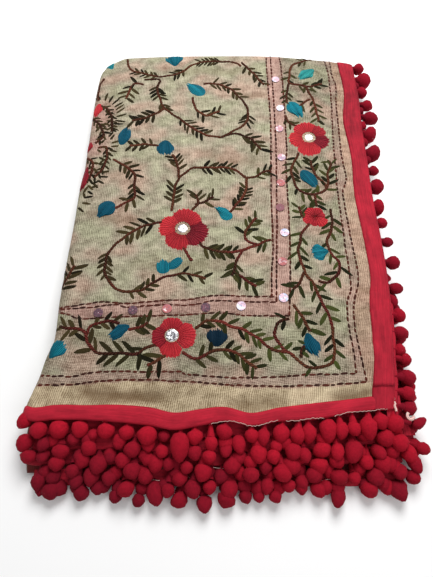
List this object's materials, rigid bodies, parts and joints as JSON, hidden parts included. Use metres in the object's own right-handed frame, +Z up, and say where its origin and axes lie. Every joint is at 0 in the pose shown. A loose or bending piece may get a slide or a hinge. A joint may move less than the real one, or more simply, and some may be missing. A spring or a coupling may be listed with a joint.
{
  "type": "folded phulkari shawl",
  "caption": "Embroidered phulkari shawl folded flat into a low stack, with a woven tape and rows of felt pompoms along its front end and long edge.",
  "frame": {"origin": "the middle of the flat underside", "axes": "+X towards the long edge with the tape and pompoms, +Y towards the back fold, +Z up"},
  "size_m": [0.2546, 0.3674, 0.0253],
  "materials": {
    "cloth": "beige ribbed gauze weave, tinted green and pink in places, embroidered",
    "hidden_cloth": "the same beige weave, seen at the folded edges",
    "tape": "crimson plain woven tape",
    "pompom": "crimson felted wool",
    "stem_thread": "maroon stem stitch and running stitch",
    "leaf_thread": "dark green satin stitch",
    "bud_thread": "teal and blue satin stitch",
    "flower_thread": "red satin stitch",
    "mirror": "small round mirrors and sequins"
  },
  "bodies": {
    "root": {"top_layer": "cloth", "folded_layers": "hidden_cloth", "tape_front": "tape", "tape_side": "tape", "pompoms_front_1": "pompom", "pompoms_front_2": "pompom", "pompoms_front_3": "pompom", "pompoms_front_4": "pompom", "pompoms_front_5": "pompom", "pompoms_side_1": "pompom", "pompoms_side_2": "pompom", "pompoms_side_3": "pompom"}
  },
  "joints": []
}
